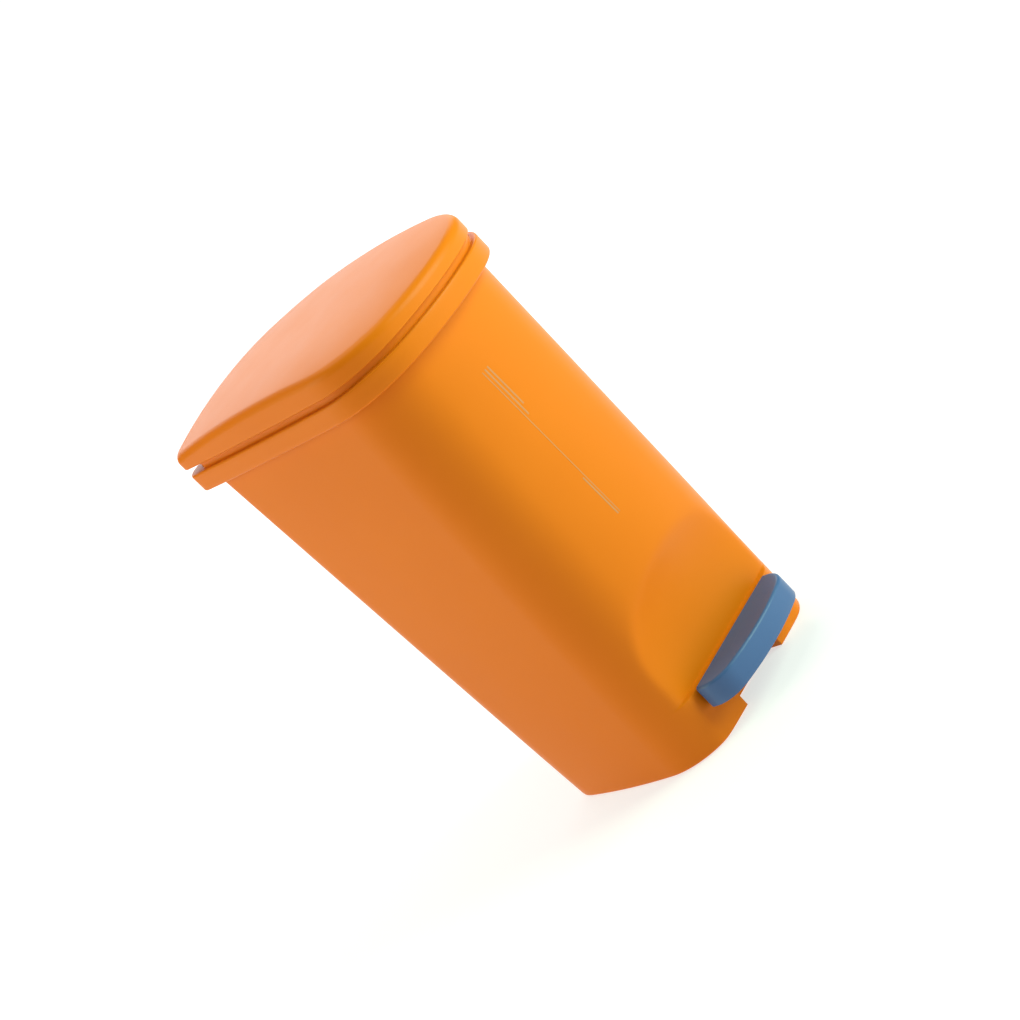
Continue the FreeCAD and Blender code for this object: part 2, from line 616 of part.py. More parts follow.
def base_frame():
    """Mechanism frame on the shell's floor: plate, deck posts and bearing towers."""
    plate = prism(body_section(FLOOR_TOP, WALL + 3.0), FLOOR_TOP, FRAME_TOP)
    plate = plate.cut(scoop_tool(WALL + 1.0))
    plate = plate.cut(box(-BAY_HALF - 4, BAY_HALF + 4, -120, -68, 0, 20))
    parts = [upright(x, y, FLOOR_TOP, DECK_Z, 5.5) for x, y in POSTS]
    parts.append(box(-9, 9, 20, 34, FRAME_TOP - 0.5, FRAME_TOP + 0.8))
    for s in (1, -1):
        x0 = TOWER_X[0] if s > 0 else -TOWER_X[1]
        parts.append(box(x0, x0 + 9, AXLE_Y - 9.5, AXLE_Y + 9.5, FRAME_TOP - 0.5, AXLE_Z))
    for x, y in POSTS:
        near, far = sorted((y, y - math.copysign(14.0, y)))
        parts.append(box(x - 1.2, x + 1.2, near, far, FRAME_TOP - 0.5, 16))
    frame = joined(plate, *parts)
    for x, y in POSTS:
        frame = frame.cut(upright(x, y, 0, 16, SCREW_R))
        frame = frame.cut(upright(x, y, DECK_Z - 12, DECK_Z + 1, SCREW_R))
    for x, y in cap_screw_places():
        frame = frame.cut(upright(x, y, 8, AXLE_Z + 1, SCREW_R))
    return frame.cut(crossbar(-45, 45, AXLE_Y, AXLE_Z, AXLE_R))


def cap_screw_places():
    middle = sum(TOWER_X) / 2
    return [(s * middle, y) for s in (1, -1) for y in CAP_SCREW_Y]


def axle_cap(side):
    """Half bearing screwed onto a tower, over the axle."""
    x0 = TOWER_X[0] if side > 0 else -TOWER_X[1]
    cap = box(x0, x0 + 9, AXLE_Y - 9.5, AXLE_Y + 9.5, AXLE_Z, AXLE_Z + 3.4)
    cap = joined(cap, crossbar(x0, x0 + 9, AXLE_Y, AXLE_Z, 6.0))
    cap = cap.common(box(x0, x0 + 9, AXLE_Y - 12, AXLE_Y + 12, AXLE_Z, AXLE_Z + 10))
    cap = cap.cut(crossbar(-45, 45, AXLE_Y, AXLE_Z, AXLE_R))
    for x, y in cap_screw_places():
        cap = cap.cut(upright(x, y, AXLE_Z - 1, AXLE_Z + 8, SCREW_R + 0.1))
        cap = cap.cut(upright(x, y, AXLE_Z + 3.4, AXLE_Z + 12, 2.9))
    return cap


def cap_screws():
    return group([screw(x, y, AXLE_Z + 3.4, 9.0, head_r=2.6) for x, y in cap_screw_places()])


def pedal_rest_pad():
    """Rubber pad on the base frame that the lever's beam rests on."""
    pad = box(-6, 6, 22, 32, FRAME_TOP + 0.8, 9.0)
    return pad.makeFillet(0.8, [e for e in pad.Edges if e.BoundBox.ZLength > 1.0])


def bucket_deck():
    """Deck over the mechanism, with a low ring that locates the bucket."""
    plate = prism(body_section(DECK_Z, WALL + 1.0), DECK_Z, DECK_TOP)
    ring = prism(inset(BUCKET_BASE, -3.0), DECK_TOP - 0.5, DECK_TOP + 3.0)
    ring = ring.cut(prism(inset(BUCKET_BASE, -1.2), DECK_TOP - 1, DECK_TOP + 4))
    ring = ring.cut(box(-18, 18, 30, 60, DECK_TOP - 1, DECK_TOP + 4))
    deck = joined(plate, ring)
    deck = deck.cut(scoop_tool(WALL + 0.8))
    deck = deck.cut(box(-13, 13, 46, 80, 30, 50))
    for x, y in POSTS:
        deck = deck.cut(upright(x, y, 30, DECK_TOP + 1, SCREW_R + 0.2))
        deck = deck.cut(upright(x, y, DECK_TOP - 1.8, DECK_TOP + 5, 3.1))
    return deck


def deck_screws():
    return group([screw(x, y, DECK_TOP - 1.8, DECK_Z - 11.0, head_h=1.6) for x, y in POSTS])


def base_screws():
    return group([screw(x, y, BASE_HEAD_Z, 14.5, head_h=1.0) for x, y in POSTS])


def foot_pads():
    places = [(56.0, -44.0), (58.0, 18.0), (-56.0, -44.0), (-58.0, 18.0)]
    pads = []
    for x, y in places:
        pads.append(Part.makeCone(7.4, 8.0, PAD_HEIGHT, Vector(x, y, 0), Vector(0, 0, 1)))
    return group(pads)


def build():
    os.makedirs("parts", exist_ok=True)
    shell = outer_shell()
    nodes = {
        "outer_shell": shell,
        "rim_collar": rim_collar(),
        "bag_ring": bag_ring(),
        "inner_bucket": inner_bucket(),
        "bail_handle": bail_handle(),
        "bail_grip": bail_grip(),
        "lid_cover": lid_cover(),
        "lid_liner": lid_liner(),
        "lid_hinge_bracket": lid_hinge_bracket(),
        "hinge_pin": hinge_pin(),
        "hinge_pin_caps": hinge_pin_caps(),
        "lid_buffers": lid_buffers(),
        "liner_screws": liner_screws(),
        "bracket_screws": bracket_screws(),
        "push_rod": push_rod(),
        "rod_guide_lower": rod_guide(75.0, shell),
        "rod_guide_upper": rod_guide(270.0, shell),
        "rod_guard": rod_guard(shell),
        "pedal_tread": pedal_tread(),
        "pedal_lever": pedal_lever(),
        "tread_screws": tread_screws(),
        "pedal_axle": pedal_axle(),
        "axle_clips": axle_clips(),
        "axle_cap_right": axle_cap(1),
        "axle_cap_left": axle_cap(-1),
        "cap_screws": cap_screws(),
        "pedal_rest_pad": pedal_rest_pad(),
        "base_frame": base_frame(),
        "bucket_deck": bucket_deck(),
        "deck_screws": deck_screws(),
        "base_screws": base_screws(),
        "foot_pads": foot_pads(),
    }
    for name, shape in nodes.items():
        shape.translate(Vector(0, -PLAN_MIDDLE, 0))
        shape.exportStep(f"parts/{name}.step")
        extent = shape.BoundBox
        print(f"{name:20s} solids {len(shape.Solids)} volume {shape.Volume / 1000:8.2f} cm3 "
              f"x {extent.XMin:.1f}..{extent.XMax:.1f} y {extent.YMin:.1f}..{extent.YMax:.1f} "
              f"z {extent.ZMin:.1f}..{extent.ZMax:.1f} valid {shape.isValid()}")


build()
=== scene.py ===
"""Looks for a slim step-on pedal bin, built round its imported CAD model.

The scene is in metres with +Z up, and -Y is the front with the pedal.  The constants
and the outlines are in millimetres, scaled by MM where a mesh is made.  The big moulded
pieces are rebuilt as dense smooth skins; everything else keeps its CAD shape and gets a
finer material.
"""

import json
import math

import bpy
import bmesh
import numpy as np
from mathutils import Matrix, Vector


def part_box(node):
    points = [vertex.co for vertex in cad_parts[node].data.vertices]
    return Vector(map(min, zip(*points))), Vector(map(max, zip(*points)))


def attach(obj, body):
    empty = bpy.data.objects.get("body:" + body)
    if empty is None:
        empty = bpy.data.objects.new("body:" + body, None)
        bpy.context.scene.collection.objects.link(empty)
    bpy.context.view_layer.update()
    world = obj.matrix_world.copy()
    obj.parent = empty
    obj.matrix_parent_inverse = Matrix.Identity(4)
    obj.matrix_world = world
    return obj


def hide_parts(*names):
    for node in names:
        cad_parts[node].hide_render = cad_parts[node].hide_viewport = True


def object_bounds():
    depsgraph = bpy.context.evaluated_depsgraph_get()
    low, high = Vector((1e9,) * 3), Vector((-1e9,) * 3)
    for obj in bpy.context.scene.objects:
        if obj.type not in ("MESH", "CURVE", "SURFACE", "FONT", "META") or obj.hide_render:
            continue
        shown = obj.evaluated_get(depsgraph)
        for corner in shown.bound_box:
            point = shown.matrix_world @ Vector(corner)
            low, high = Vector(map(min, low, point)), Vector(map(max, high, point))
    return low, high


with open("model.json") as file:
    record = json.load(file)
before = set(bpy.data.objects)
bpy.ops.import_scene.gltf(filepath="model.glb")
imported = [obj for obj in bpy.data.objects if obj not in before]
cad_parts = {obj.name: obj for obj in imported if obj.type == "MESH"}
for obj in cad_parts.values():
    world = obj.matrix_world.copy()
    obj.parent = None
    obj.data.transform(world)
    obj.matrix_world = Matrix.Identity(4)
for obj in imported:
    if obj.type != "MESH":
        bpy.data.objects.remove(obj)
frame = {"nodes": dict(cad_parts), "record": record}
cad_low, cad_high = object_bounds()
nodes = frame["nodes"]
scene = bpy.context.scene

MM = 0.001

# ---- the D-shaped outlines, in millimetres ------------------------------------------
RIM = dict(half=84.6, mid=-25.0, rear=112.0, front=-131.0,
           r_rear=12.0, r_front=60.5, r_nose=150.0, r_side=2600.0)
BODY_TOP = dict(half=76.8, mid=-25.0, rear=95.8, front=-119.0,
                r_rear=9.0, r_front=52.0, r_nose=150.0, r_side=2600.0)
BODY_BASE = dict(half=84.2, mid=-22.0, rear=61.5, front=-106.5,
                 r_rear=26.0, r_front=52.0, r_nose=160.0, r_side=560.0)
BUCKET_TOP = dict(half=66.0, mid=-15.0, rear=74.0, front=-108.0,
                  r_rear=16.0, r_front=42.0, r_nose=130.0, r_side=1500.0)
BUCKET_BASE = dict(half=61.0, mid=-15.0, rear=43.0, front=-83.0,
                   r_rear=18.0, r_front=38.0, r_nose=130.0, r_side=1500.0)
TREAD = dict(half=52.8, mid=-112.0, rear=-97.2, front=-128.2,
             r_rear=2.4, r_front=21.5, r_nose=150.0, r_side=900.0)
WALL = 2.4
BODY_TOP_Z = 330.0

# points on the nose, front corner, side, rear corner and half the back of an outline
RING_COUNTS = (16, 48, 30, 10, 14)
BUCKET_COUNTS = (16, 24, 16, 8, 12)
TREAD_COUNTS = (24, 26, 6, 5, 14)

shell_low, shell_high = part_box("outer_shell")
rim_low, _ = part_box("rim_collar")
lid_low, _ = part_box("lid_cover")
tread_low, tread_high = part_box("pedal_tread")
bucket_low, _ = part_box("inner_bucket")
SHELL_BOTTOM = shell_low.z / MM
SHELL_TOP = shell_high.z / MM
COLLAR_BOTTOM = rim_low.z / MM
COLLAR_TOP = COLLAR_BOTTOM + 14.5
COLLAR_ROUND = 1.6
NECK_TOP = COLLAR_BOTTOM + 21.0
NECK_OUTER_INSET = 4.6
NECK_INNER_INSET = 6.4
NECK_REAR = 94.0
NECK_INNER_REAR = 92.2
SOFT_EDGE = 0.5                # small bevel on the collar's neck and the lid's lower edge
LID_BOTTOM = lid_low.z / MM
TREAD_BOTTOM = tread_low.z / MM
TREAD_TOP = tread_high.z / MM
BUCKET_FLOOR = bucket_low.z / MM

LID_CORNER_Z = 358.5
LID_SIDE_RISE = 8.4
LID_BACK_RISE = 8.7
LID_NOSE_RISE = 2.0
LID_CROWN = 3.2
LID_ROUND = 5.6
LID_INSET = 1.6
LID_BACK = 0.8
LID_CENTRE_Y = -9.5
LID_ROUND_STEPS = 14

# the CAD puts the middle of the plan at y = 0; SHIFT_Y moves the outlines there
PLAN_MIDDLE = (RIM["front"] + RIM["rear"] + LID_BACK) / 2
SHIFT_Y = (cad_low.y + cad_high.y) / 2 / MM - PLAN_MIDDLE

SCOOP_Y = -91.0
SCOOP_Z = 60.0
SCOOP_RADIUS = 104.0
LEDGE_Z = 41.0
TOE_TOP_Y = -95.2
TOE_BASE_Y = -93.5
BAY_HALF = 27.4
BAY_TOP = 26.0
BAY_REAR = -78.0
SHELL_FILLET = 2.0
SCOOP_SOFTNESS = 3.2

hinge_low, hinge_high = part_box("hinge_pin")
HINGE_Y = (hinge_low.y + hinge_high.y) / 2 / MM - SHIFT_Y
HINGE_Z = (hinge_low.z + hinge_high.z) / 2 / MM
KNUCKLE_R = 3.4
LUG_INNER = 26.2
LUG_WIDTH = 6.0
HINGE_NOTCH_HALF = 37.0
HINGE_NOTCH_RISE = 4.0

TREAD_ROUND = 2.2
TREAD_DISH = 0.35
TREAD_CENTRE_Y = -109.0
TREAD_SHELL = 2.3
LEVER_ARM_HALF = 24.0

BUCKET_WALL = 1.8
BUCKET_ROUND = 7.0
BUCKET_INNER_ROUND = 5.5
BUCKET_RIM_Z = BUCKET_FLOOR + 293.5
BAIL_Y = -15.0
BAIL_Z = BUCKET_FLOOR + 298.0
EAR_R = 4.0
EAR_HOLE_R = 2.08

PRINT_LOW_Z = 159.0
PRINT_HEIGHT = 130.0
PRINT_LOW_X = -6.6
PRINT_HIGH_X = -12.0
PRINT_LIFT = 0.06
PRINT_DEPTH = 0.15


def inset(section, amount):
    """The same outline moved inwards."""
    out = {key: value - amount for key, value in section.items()}
    out.update(mid=section["mid"], front=section["front"] + amount)
    return out


def blend(low, high, t):
    """The outline a share t of the way from low to high."""
    return {key: low[key] + (high[key] - low[key]) * t for key in low}


def body_section(z, amount=0.0):
    """Outline of the tapering body at height z, moved inwards by amount."""
    return inset(blend(BODY_BASE, BODY_TOP, z / BODY_TOP_Z), amount)


def arc(centre, radius, a, b, count):
    """Points from angle a up to, but not including, angle b."""
    t = a + (b - a) * np.arange(count) / count
    return centre + radius * np.column_stack([np.cos(t), np.sin(t)])


def angle_to(centre, point):
    return math.atan2(point[1] - centre[1], point[0] - centre[0])


def outline(section, counts=RING_COUNTS):
    """Closed D outline as points, from the nose round to the right, back and left."""
    r_nose, r_front = section["r_nose"], section["r_front"]
    r_side, r_rear, rear = section["r_side"], section["r_rear"], section["rear"]
    nose = np.array([0.0, section["front"] + r_nose])
    side = np.array([section["half"] - r_side, section["mid"]])
    span = side - nose
    gap = np.hypot(*span)
    reach = r_nose - r_front
    along = (reach ** 2 - (r_side - r_front) ** 2 + gap ** 2) / (2 * gap)
    off = math.sqrt(reach ** 2 - along ** 2)
    corner = nose + span * along / gap - np.array([span[1], -span[0]]) * off / gap
    rear_y = rear - r_rear
    rear_x = side[0] + math.sqrt((r_side - r_rear) ** 2 - (rear_y - side[1]) ** 2)
    back = np.array([rear_x, rear_y])
    a_front, a_side, a_back = angle_to(nose, corner), angle_to(side, corner), angle_to(side, back)
    half = np.vstack([
        arc(nose, r_nose, -math.pi / 2, a_front, counts[0]),
        arc(corner, r_front, a_front, a_side, counts[1]),
        arc(side, r_side, a_side, a_back, counts[2]),
        arc(back, r_rear, a_back, math.pi / 2, counts[3]),
        np.column_stack([rear_x * (1 - np.arange(counts[4] + 1) / counts[4]),
                         np.full(counts[4] + 1, rear)]),
    ])
    mirrored = half[1:-1][::-1] * [-1, 1]
    return np.vstack([half, mirrored])


def ring(section, z, counts=RING_COUNTS):
    """The outline as points at height z."""
    points = outline(section, counts)
    return np.column_stack([points, np.full(len(points), float(z))])


def make_piece(name, mesh, body, replaced=(), smooth_angle=35.0):
    """Link a finished mesh as a piece that rides on a CAD body."""
    mesh.transform(Matrix.Translation((0, SHIFT_Y * MM, 0)))
    for polygon in mesh.polygons:
        polygon.use_smooth = True
    mesh.set_sharp_from_angle(angle=math.radians(smooth_angle))
    piece = bpy.data.objects.new(name, mesh)
    scene.collection.objects.link(piece)
    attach(piece, body)
    if replaced:
        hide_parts(*replaced)
    return piece


def rings_mesh(name, rings, loop=False, caps=True):
    """Skin a list of equal point rings (mm); close it as a tube loop or with caps."""
    bm = bmesh.new()
    rows = [[bm.verts.new(Vector(point) * MM) for point in points] for points in rings]
    count = len(rows[0])
    pairs = list(zip(rows, rows[1:]))
    if loop:
        pairs.append((rows[-1], rows[0]))
    for low, high in pairs:
        for i in range(count):
            j = (i + 1) % count
            bm.faces.new((low[i], low[j], high[j], high[i]))
    if caps and not loop:
        bm.faces.new(rows[0][::-1])
        bm.faces.new(rows[-1])
    bmesh.ops.recalc_face_normals(bm, faces=bm.faces)
    mesh = bpy.data.meshes.new(name)
    bm.to_mesh(mesh)
    bm.free()
    return mesh


def box_mesh(name, x0, x1, y0, y1, z0, z1):
    bm = bmesh.new()
    bmesh.ops.create_cube(bm, size=1.0)
    size = Vector((x1 - x0, y1 - y0, z1 - z0)) * MM
    middle = Vector((x0 + x1, y0 + y1, z0 + z1)) * MM / 2
    bmesh.ops.transform(bm, matrix=Matrix.LocRotScale(middle, None, size), verts=bm.verts)
    mesh = bpy.data.meshes.new(name)
    bm.to_mesh(mesh)
    bm.free()
    return mesh


def bar_mesh(name, x0, x1, y, z, radius, segments=40):
    """A round bar along X."""
    bm = bmesh.new()
    bmesh.ops.create_cone(bm, cap_ends=True, segments=segments, radius1=radius * MM,
                          radius2=radius * MM, depth=(x1 - x0) * MM)
    place = Matrix.Translation(Vector(((x0 + x1) / 2, y, z)) * MM)
    turn = Matrix.Rotation(math.pi / 2, 4, "Y")
    bmesh.ops.transform(bm, matrix=place @ turn, verts=bm.verts)
    mesh = bpy.data.meshes.new(name)
    bm.to_mesh(mesh)
    bm.free()
    return mesh


def combine(mesh, tools):
    """Apply (operation, mesh) booleans in turn and return the resulting mesh."""
    base = bpy.data.objects.new("combine_base", mesh)
    scene.collection.objects.link(base)
    helpers = []
    for operation, tool_mesh in tools:
        helper = bpy.data.objects.new("combine_tool", tool_mesh)
        scene.collection.objects.link(helper)
        helpers.append(helper)
        modifier = base.modifiers.new("boolean", "BOOLEAN")
        modifier.operation = operation
        modifier.solver = "EXACT"
        modifier.object = helper
    bpy.context.view_layer.update()
    evaluated = base.evaluated_get(bpy.context.evaluated_depsgraph_get())
    result = bpy.data.meshes.new_from_object(evaluated)
    for helper in helpers:
        bpy.data.objects.remove(helper)
    bpy.data.objects.remove(base)
    return result


# ---- outer shell --------------------------------------------------------------------
def scoop_wall_y(z, grow):
    """Front limit of the wall under the foot scoop, at height z."""
    toe_top = LEDGE_Z - grow
    if z > SCOOP_Z:
        rise = (SCOOP_RADIUS + grow) ** 2 - (z - SCOOP_Z) ** 2
        centre_y = SCOOP_Y - SCOOP_RADIUS
        return centre_y + math.sqrt(rise) if rise > 0 else -400.0
    wall = SCOOP_Y + grow
    toe = TOE_BASE_Y + (TOE_TOP_Y - TOE_BASE_Y) * max(z, 0.0) / LEDGE_Z + grow
    blend_height = 1.6
    t = min(max((z - toe_top + blend_height) / blend_height, 0.0), 1.0)
    t = t * t * (3 - 2 * t)
    return toe + (wall - toe) * t


def scooped(section, z, grow):
    """The section's ring with its front pushed back to the foot scoop, softly."""
    points = ring(section, z)
    limit = scoop_wall_y(z, grow)
    gap = points[:, 1] - limit
    front = points[:, 1] < 0
    soft = (points[:, 1] + limit + np.sqrt(gap ** 2 + SCOOP_SOFTNESS ** 2)) / 2
    fade = np.clip((40.0 - gap) / 30.0, 0.0, 1.0)
    points[:, 1] = np.where(front, points[:, 1] + (soft - points[:, 1]) * fade, points[:, 1])
    return points


def shell_heights():
    """Ring heights, closest together at the ledge over the pedal."""
    low = list(np.linspace(SHELL_BOTTOM + 2.0, 36.0, 12))
    ledge = list(np.linspace(37.0, 43.0, 13))
    scoop = list(np.linspace(45.0, 132.0, 44))
    high = list(np.linspace(138.0, SHELL_TOP, 34))
    return low + ledge + scoop + high


def make_shell():
    rings = []
    for step in range(6):
        a = math.pi / 2 * step / 6
        z = SHELL_BOTTOM + SHELL_FILLET * (1 - math.cos(a))
        rings.append(scooped(body_section(z, SHELL_FILLET * (1 - math.sin(a))), z, 0.0))
    for z in shell_heights():
        rings.append(scooped(body_section(z), z, 0.0))
    for z in reversed(shell_heights()):
        if z > SHELL_BOTTOM + WALL + 1.0:
            rings.append(scooped(body_section(z, WALL), z, WALL))
    floor_z = SHELL_BOTTOM + WALL
    rings.append(scooped(body_section(floor_z, WALL), floor_z, WALL))
    side = BAY_HALF + WALL
    tunnel = box_mesh("tunnel", -side, side, TOE_BASE_Y + 1.0, BAY_REAR,
                      SHELL_BOTTOM + 1.0, BAY_TOP + WALL)
    bay = box_mesh("bay", -BAY_HALF, BAY_HALF, TOE_BASE_Y - 12.0, BAY_REAR + 0.5,
                   SHELL_BOTTOM - 5.0, BAY_TOP)
    notch = box_mesh("notch", -5.0, 14.0, 88.0, 110.0, 333.0, SHELL_TOP + 5.0)
    mesh = combine(rings_mesh("shell_skin", rings),
                   [("UNION", tunnel), ("DIFFERENCE", bay), ("DIFFERENCE", notch)])
    return make_piece("shell_skin", mesh, "bin", ["outer_shell"])


# ---- collar -------------------------------------------------------------------------
def rounded_profile(section, points):
    """One ring for each (inset, z) point of a profile."""
    return [ring(inset(section, amount), z) for amount, z in points]


def quarter(amount, z, radius, start, steps=5):
    """(inset, z) points of a quarter round centred at (amount, z), start in degrees."""
    out = []
    for step in range(steps + 1):
        a = math.radians(start + 90.0 * step / steps)
        out.append((amount - radius * math.cos(a), z + radius * math.sin(a)))
    return out


def make_collar():
    r = COLLAR_ROUND
    profile = [(WALL, COLLAR_BOTTOM + SOFT_EDGE), (WALL - 0.3, COLLAR_BOTTOM)]
    profile += [(r, COLLAR_BOTTOM)] + quarter(r, COLLAR_BOTTOM + r, r, -90.0)[1:]
    straight = COLLAR_TOP - COLLAR_BOTTOM - 2 * r
    profile += [(0.0, COLLAR_BOTTOM + r + k * straight / 4) for k in range(1, 4)]
    profile += quarter(r, COLLAR_TOP - r, r, 0.0)
    rings = rounded_profile(RIM, profile)

    neck_out, neck_in = inset(RIM, NECK_OUTER_INSET), inset(RIM, NECK_INNER_INSET)
    neck_out.update(rear=NECK_REAR, r_rear=6.0)
    neck_in.update(rear=NECK_INNER_REAR, r_rear=4.2)
    rings.append(ring(inset(neck_out, -SOFT_EDGE), COLLAR_TOP))
    rings.append(ring(neck_out, COLLAR_TOP + SOFT_EDGE))
    rings.append(ring(neck_out, NECK_TOP - SOFT_EDGE))
    rings.append(ring(inset(neck_out, SOFT_EDGE), NECK_TOP))
    rings.append(ring(inset(neck_in, -SOFT_EDGE), NECK_TOP))
    rings.append(ring(neck_in, NECK_TOP - SOFT_EDGE))
    rings.append(ring(neck_in, COLLAR_TOP))
    opening = body_section(SHELL_TOP, WALL + 2.2)
    opening.update(rear=80.0, r_rear=10.0)
    rings.append(ring(opening, COLLAR_TOP))
    rings.append(ring(opening, SHELL_TOP))
    rings.append(ring(inset(RIM, WALL), SHELL_TOP))

    tools = [("DIFFERENCE", box_mesh("slot", -5, 14, 79, 101.5, 325, COLLAR_TOP + 0.01)),
             ("DIFFERENCE", box_mesh("gap", -34, 34, 90.8, 96, COLLAR_TOP, NECK_TOP + 1))]
    for x0 in (LUG_INNER, -LUG_INNER - LUG_WIDTH):
        x1 = x0 + LUG_WIDTH
        tools.append(("UNION", box_mesh("lug", x0, x1, HINGE_Y - KNUCKLE_R, HINGE_Y + KNUCKLE_R,
                                        COLLAR_TOP - SOFT_EDGE, HINGE_Z)))
        tools.append(("UNION", bar_mesh("lug_eye", x0, x1, HINGE_Y, HINGE_Z, KNUCKLE_R)))
    mesh = combine(rings_mesh("collar_skin", rings, loop=True), tools)
    return make_piece("collar_skin", mesh, "bin", ["rim_collar"])


# ---- lid ----------------------------------------------------------------------------
def lid_top_z(x, y, drop=0.0):
    """Height of the lid's pillowed top over a point (mm)."""
    middle_y = (RIM["rear"] + RIM["front"]) / 2
    half_y = (RIM["rear"] - RIM["front"]) / 2
    u, v = x / RIM["half"], (y - middle_y) / half_y
    end_rise = np.where(v > 0, LID_BACK_RISE, LID_NOSE_RISE)
    rise = LID_SIDE_RISE * (1 - v * v) + end_rise * (1 - u * u) * v * v
    rise = rise + LID_CROWN * (1 - u ** 4) * (1 - v ** 4)
    return LID_CORNER_Z + rise - drop


def lid_ring(section, base_z=None, drop=0.0, scale=1.0):
    """A ring of the lid on its curved top, or level at base_z."""
    points = outline(section)
    centre = np.array([0.0, LID_CENTRE_Y])
    points = centre + (points - centre) * scale
    if base_z is None:
        z = lid_top_z(points[:, 0], points[:, 1], drop)
    else:
        z = np.full(len(points), base_z)
    return np.column_stack([points, z])


def make_lid():
    section = inset(RIM, LID_INSET)
    section.update(rear=RIM["rear"] + LID_BACK)
    r = LID_ROUND
    scales = list(np.linspace(0.03, 0.97, 34))
    inner = inset(section, WALL)
    rings = [lid_ring(inset(section, r), scale=s) for s in scales]
    for step in range(LID_ROUND_STEPS + 1):
        a = math.pi / 2 * step / LID_ROUND_STEPS
        top = lid_ring(inset(section, r * (1 - math.sin(a))))
        top[:, 2] -= r * (1 - math.cos(a))
        rings.append(top)
    edge = rings[-1]
    last = lid_ring(section, LID_BOTTOM + SOFT_EDGE)
    for t in (0.25, 0.5, 0.75):
        rings.append(edge + (last - edge) * t)
    rings.append(last)
    rings.append(lid_ring(inset(section, 0.4), LID_BOTTOM))
    rings.append(lid_ring(inset(section, WALL - 0.4), LID_BOTTOM))
    rings.append(lid_ring(inner, LID_BOTTOM + SOFT_EDGE))
    rings.append(lid_ring(inner, drop=WALL + 1.5))
    for s in reversed(scales):
        rings.append(lid_ring(inset(section, WALL + 1.0), drop=WALL, scale=s))
    notch = box_mesh("notch", -HINGE_NOTCH_HALF, HINGE_NOTCH_HALF, HINGE_Y - 2,
                     RIM["rear"] + 6, LID_BOTTOM - 5, HINGE_Z + HINGE_NOTCH_RISE)
    mesh = combine(rings_mesh("lid_skin", rings), [("DIFFERENCE", notch)])
    return make_piece("lid_skin", mesh, "lid", ["lid_cover"])


# ---- pedal tread --------------------------------------------------------------------
def make_tread():
    r = TREAD_ROUND
    centre = np.array([0.0, TREAD_CENTRE_Y])

    def tread_ring(amount, z, scale=1.0, dish=0.0):
        points = outline(inset(TREAD, amount), TREAD_COUNTS)
        points = centre + (points - centre) * scale
        heights = np.full(len(points), float(z)) - dish
        return np.column_stack([points, heights])

    rings = [tread_ring(r, TREAD_TOP, s, TREAD_DISH * (1 - s ** 4))
             for s in np.linspace(0.04, 0.96, 16)]
    for step in range(9):
        a = math.pi / 2 * step / 8
        rings.append(tread_ring(r * (1 - math.sin(a)), TREAD_TOP - r * (1 - math.cos(a))))
    for t in (0.3, 0.6, 1.0):
        z = TREAD_TOP - r + (TREAD_BOTTOM + 0.8 - TREAD_TOP + r) * t
        rings.append(tread_ring(0.0, z))
    rings.append(tread_ring(0.3, TREAD_BOTTOM + 0.2))
    rings.append(tread_ring(0.8, TREAD_BOTTOM))
    rings.append(tread_ring(TREAD_SHELL - 0.1, TREAD_BOTTOM))
    rings.append(tread_ring(TREAD_SHELL, TREAD_BOTTOM + 0.4))
    rings.append(tread_ring(TREAD_SHELL, TREAD_TOP - 3.4))
    rings.append(tread_ring(TREAD_SHELL, TREAD_TOP - 3.2, 0.9))
    mesh = rings_mesh("tread_skin", rings)
    gap = box_mesh("gap", -LEVER_ARM_HALF, LEVER_ARM_HALF, TREAD["rear"] - 4,
                   TREAD["rear"] + 3, 15, 28.5)
    mesh = combine(mesh, [("DIFFERENCE", gap)])
    return make_piece("tread_skin", mesh, "pedal", ["pedal_tread"])


